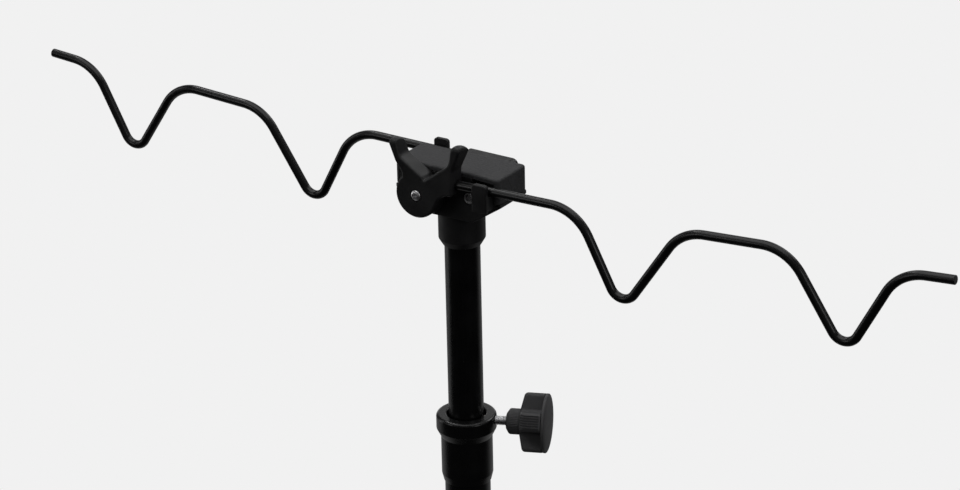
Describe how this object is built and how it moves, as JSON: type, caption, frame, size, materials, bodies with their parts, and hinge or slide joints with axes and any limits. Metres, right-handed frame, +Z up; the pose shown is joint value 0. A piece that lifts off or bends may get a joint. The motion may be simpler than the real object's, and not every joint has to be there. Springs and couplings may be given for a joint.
{
  "type": "rod tripod",
  "caption": "Black tripod for fishing rods: a telescopic tube on three folding telescopic legs, clamped by winged thumb screws, with two bent wire arms that fold up from a small head block.",
  "frame": {"origin": "on the ground under the column, at the middle of the bounding box's base", "axes": "+Z up along the column, +X along the front arm, -Y towards the front leg"},
  "size_m": [0.6746, 0.5885, 1.176],
  "materials": {
    "coated_wire": "satin black coating on bent steel wire",
    "black_moulding": "satin black moulded plastic",
    "grained_cover": "finely grained matt plastic",
    "anodised_tube": "satin black anodised",
    "knob_moulding": "matt moulded plastic",
    "pale_bush": "pale low-friction plastic",
    "plated_steel": "bright zinc-plated steel",
    "dark_steel": "blackened steel",
    "black_rubber": "matt black rubber"
  },
  "bodies": {
    "column": {"outer_tube": "anodised_tube", "clamp_collar": "black_moulding", "leg_hub": "black_moulding", "hub_plug": "black_moulding", "front_leg_hinge_bolt": "plated_steel", "front_leg_hinge_nut": "plated_steel", "right_leg_hinge_bolt": "plated_steel", "right_leg_hinge_nut": "plated_steel", "left_leg_hinge_bolt": "plated_steel", "left_leg_hinge_nut": "plated_steel"},
    "column_bush": {"guide_bush": "pale_bush"},
    "head": {"inner_tube": "anodised_tube", "tube_end_plug": "black_moulding", "head_body": "black_moulding", "head_cover": "grained_cover", "front_pivot_bolt": "plated_steel", "front_pivot_nut": "dark_steel", "back_pivot_bolt": "plated_steel", "back_pivot_nut": "dark_steel"},
    "front_arm": {"front_arm_bracket": "black_moulding", "front_arm_wire": "coated_wire"},
    "back_arm": {"back_arm_bracket": "black_moulding", "back_arm_wire": "coated_wire"},
    "clamp_pad": {"clamp_pad": "pale_bush"},
    "clamp_knob": {"clamp_screw": "plated_steel", "clamp_knob": "knob_moulding", "clamp_knob_cap": "knob_moulding"},
    "front_leg": {"front_leg_fitting": "black_moulding", "front_leg_upper_tube": "anodised_tube", "front_leg_collar": "black_moulding"},
    "front_leg_lower": {"front_leg_lower_tube": "anodised_tube", "front_leg_guide_bush": "pale_bush", "front_leg_foot": "black_rubber"},
    "front_leg_pad": {"front_leg_pad": "pale_bush"},
    "front_leg_knob": {"front_leg_screw": "plated_steel", "front_leg_knob": "knob_moulding", "front_leg_knob_cap": "knob_moulding"},
    "right_leg": {"right_leg_fitting": "black_moulding", "right_leg_upper_tube": "anodised_tube", "right_leg_collar": "black_moulding"},
    "right_leg_lower": {"right_leg_lower_tube": "anodised_tube", "right_leg_guide_bush": "pale_bush", "right_leg_foot": "black_rubber"},
    "right_leg_pad": {"right_leg_pad": "pale_bush"},
    "right_leg_knob": {"right_leg_screw": "plated_steel", "right_leg_knob": "knob_moulding", "right_leg_knob_cap": "knob_moulding"},
    "left_leg": {"left_leg_fitting": "black_moulding", "left_leg_upper_tube": "anodised_tube", "left_leg_collar": "black_moulding"},
    "left_leg_lower": {"left_leg_lower_tube": "anodised_tube", "left_leg_guide_bush": "pale_bush", "left_leg_foot": "black_rubber"},
    "left_leg_pad": {"left_leg_pad": "pale_bush"},
    "left_leg_knob": {"left_leg_screw": "plated_steel", "left_leg_knob": "knob_moulding", "left_leg_knob_cap": "knob_moulding"}
  },
  "joints": [
    {"name": "column_slide", "type": "slide", "parent": "column", "child": "column_bush", "axis": [0, 0, 1], "range_m": [-0.1, 0.15]},
    {"name": "head_swivel", "type": "hinge", "parent": "column_bush", "child": "head", "pos_m": [0, 0.09279, 1], "axis": [0, 0, 1], "continuous": true},
    {"name": "front_arm_fold", "type": "hinge", "parent": "head", "child": "front_arm", "pos_m": [-0.0152, 0.09279, 1.13923], "axis": [0, -1, 0], "range_deg": [0, 90]},
    {"name": "back_arm_fold", "type": "hinge", "parent": "head", "child": "back_arm", "pos_m": [0.0152, 0.09279, 1.13923], "axis": [0, 1, 0], "range_deg": [0, 90]},
    {"name": "clamp_pad_slide", "type": "slide", "parent": "column", "child": "clamp_pad", "axis": [0.9272, 0.3746, 0], "range_m": [0, 0.002]},
    {"name": "clamp_knob_turn", "type": "hinge", "parent": "clamp_pad", "child": "clamp_knob", "pos_m": [0, 0.09279, 0.98373], "axis": [0.9272, 0.3746, 0], "range_deg": [0, 720]},
    {"name": "front_leg_fold", "type": "hinge", "parent": "column", "child": "front_leg", "pos_m": [0, 0.05679, 0.59373], "axis": [1, 0, 0], "range_deg": [0, 30]},
    {"name": "front_leg_slide", "type": "slide", "parent": "front_leg", "child": "front_leg_lower", "axis": [0, -0.5, -0.866], "range_m": [-0.18, 0.09]},
    {"name": "front_leg_pad_slide", "type": "slide", "parent": "front_leg", "child": "front_leg_pad", "axis": [0, -0.866, 0.5], "range_m": [0, 0.002]},
    {"name": "front_leg_knob_turn", "type": "hinge", "parent": "front_leg_pad", "child": "front_leg_knob", "pos_m": [0, -0.14926, 0.23684], "axis": [0, -0.866, 0.5], "range_deg": [0, 720]},
    {"name": "right_leg_fold", "type": "hinge", "parent": "column", "child": "right_leg", "pos_m": [0.03118, 0.11079, 0.59373], "axis": [-0.5, 0.866, 0], "range_deg": [0, 30]},
    {"name": "right_leg_slide", "type": "slide", "parent": "right_leg", "child": "right_leg_lower", "axis": [0.433, 0.25, -0.866], "range_m": [-0.18, 0.09]},
    {"name": "right_leg_pad_slide", "type": "slide", "parent": "right_leg", "child": "right_leg_pad", "axis": [0.75, 0.433, 0.5], "range_m": [0, 0.002]},
    {"name": "right_leg_knob_turn", "type": "hinge", "parent": "right_leg_pad", "child": "right_leg_knob", "pos_m": [0.20962, 0.21381, 0.23684], "axis": [0.75, 0.433, 0.5], "range_deg": [0, 720]},
    {"name": "left_leg_fold", "type": "hinge", "parent": "column", "child": "left_leg", "pos_m": [-0.03118, 0.11079, 0.59373], "axis": [-0.5, -0.866, 0], "range_deg": [0, 30]},
    {"name": "left_leg_slide", "type": "slide", "parent": "left_leg", "child": "left_leg_lower", "axis": [-0.433, 0.25, -0.866], "range_m": [-0.18, 0.09]},
    {"name": "left_leg_pad_slide", "type": "slide", "parent": "left_leg", "child": "left_leg_pad", "axis": [-0.75, 0.433, 0.5], "range_m": [0, 0.002]},
    {"name": "left_leg_knob_turn", "type": "hinge", "parent": "left_leg_pad", "child": "left_leg_knob", "pos_m": [-0.20962, 0.21381, 0.23684], "axis": [-0.75, 0.433, 0.5], "range_deg": [0, 720]}
  ],
  "couplings": [
    {"joint": "clamp_knob_turn", "follows": "clamp_pad_slide", "rad_per_m": 6283.2},
    {"joint": "front_leg_knob_turn", "follows": "front_leg_pad_slide", "rad_per_m": 6283.2},
    {"joint": "right_leg_knob_turn", "follows": "right_leg_pad_slide", "rad_per_m": 6283.2},
    {"joint": "left_leg_knob_turn", "follows": "left_leg_pad_slide", "rad_per_m": 6283.2}
  ]
}
